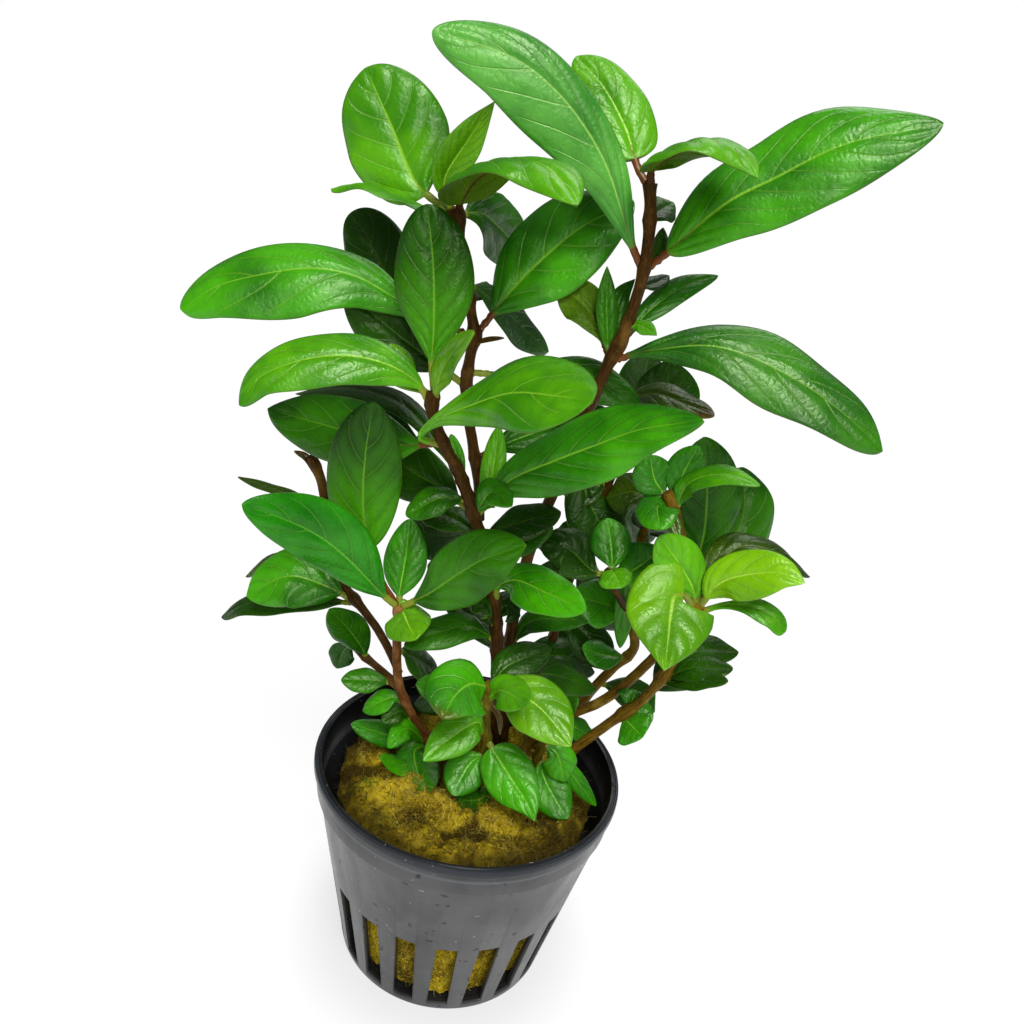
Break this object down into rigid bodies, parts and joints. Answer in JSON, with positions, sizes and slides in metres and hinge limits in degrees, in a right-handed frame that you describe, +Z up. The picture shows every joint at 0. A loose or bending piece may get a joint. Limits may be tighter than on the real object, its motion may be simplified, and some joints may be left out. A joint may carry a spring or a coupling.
{
  "type": "potted aquarium plant",
  "caption": "Potted aquatic plant: brown stems with pairs of oval green leaves growing from a fibrous plug in a slotted black net pot.",
  "frame": {"origin": "middle of the net pot's underside, on the surface it stands on", "axes": "+Z up along the pot's axis and the plant's longest extent; -Y towards the viewer of the picture; +X to the viewer's right"},
  "size_m": [0.1061, 0.0582, 0.1581],
  "materials": {
    "pot_plastic": "semi-gloss moulded black plastic with fine scuffs",
    "plug_fibre": "matt tangled fibre, olive brown",
    "stem_skin": "smooth red-brown to tan stem skin with swollen nodes",
    "leaf_green": "satin leaf, quilted between its veins"
  },
  "bodies": {
    "root": {"net_pot": "pot_plastic", "plug": "plug_fibre", "tall_stem": "stem_skin", "centre_stem": "stem_skin", "upper_stem": "stem_skin", "front_left_stem": "stem_skin", "left_stem": "stem_skin", "low_left_stem": "stem_skin", "right_stem_1": "stem_skin", "right_stem_2": "stem_skin", "right_stem_3": "stem_skin", "rosette_shoot": "stem_skin", "back_stem": "stem_skin", "front_stem": "stem_skin", "low_right_stem": "stem_skin", "tall_leaf_top_left": "leaf_green", "tall_leaf_arching": "leaf_green", "tall_leaf_long_left": "leaf_green", "tall_leaf_long_right": "leaf_green", "tall_leaf_low_right": "leaf_green", "tall_leaf_back_left": "leaf_green", "tall_leaf_small_right": "leaf_green", "upper_leaf_broad": "leaf_green", "upper_leaf_young": "leaf_green", "upper_leaf_arching": "leaf_green", "upper_leaf_level": "leaf_green", "upper_leaf_behind": "leaf_green", "upper_leaf_dark": "leaf_green", "upper_leaf_long_left": "leaf_green", "upper_leaf_long_right": "leaf_green", "upper_leaf_under_left": "leaf_green", "upper_leaf_under_right": "leaf_green", "upper_leaf_shaded": "leaf_green", "centre_leaf_upright": "leaf_green", "centre_leaf_left": "leaf_green", "centre_leaf_near": "leaf_green", "centre_leaf_low_left": "leaf_green", "centre_leaf_dark_left": "leaf_green", "centre_leaf_broad_right": "leaf_green", "front_left_leaf_long": "leaf_green", "front_left_leaf_upright": "leaf_green", "front_left_leaf_right": "leaf_green", "front_left_leaf_young": "leaf_green", "left_leaf_upper": "leaf_green", "left_leaf_lower": "leaf_green", "right_leaf_dark": "leaf_green", "right_leaf_dark_outer": "leaf_green", "right_leaf_olive": "leaf_green", "right_leaf_bright": "leaf_green", "right_leaf_up": "leaf_green", "right_leaf_notched": "leaf_green", "right_leaf_hanging": "leaf_green", "rosette_leaf_left": "leaf_green", "back_leaf_round": "leaf_green", "back_leaf_brown_tip": "leaf_green", "middle_leaf_right": "leaf_green", "front_leaf_bright_right": "leaf_green", "front_leaf_glossy": "leaf_green"}
  },
  "joints": []
}
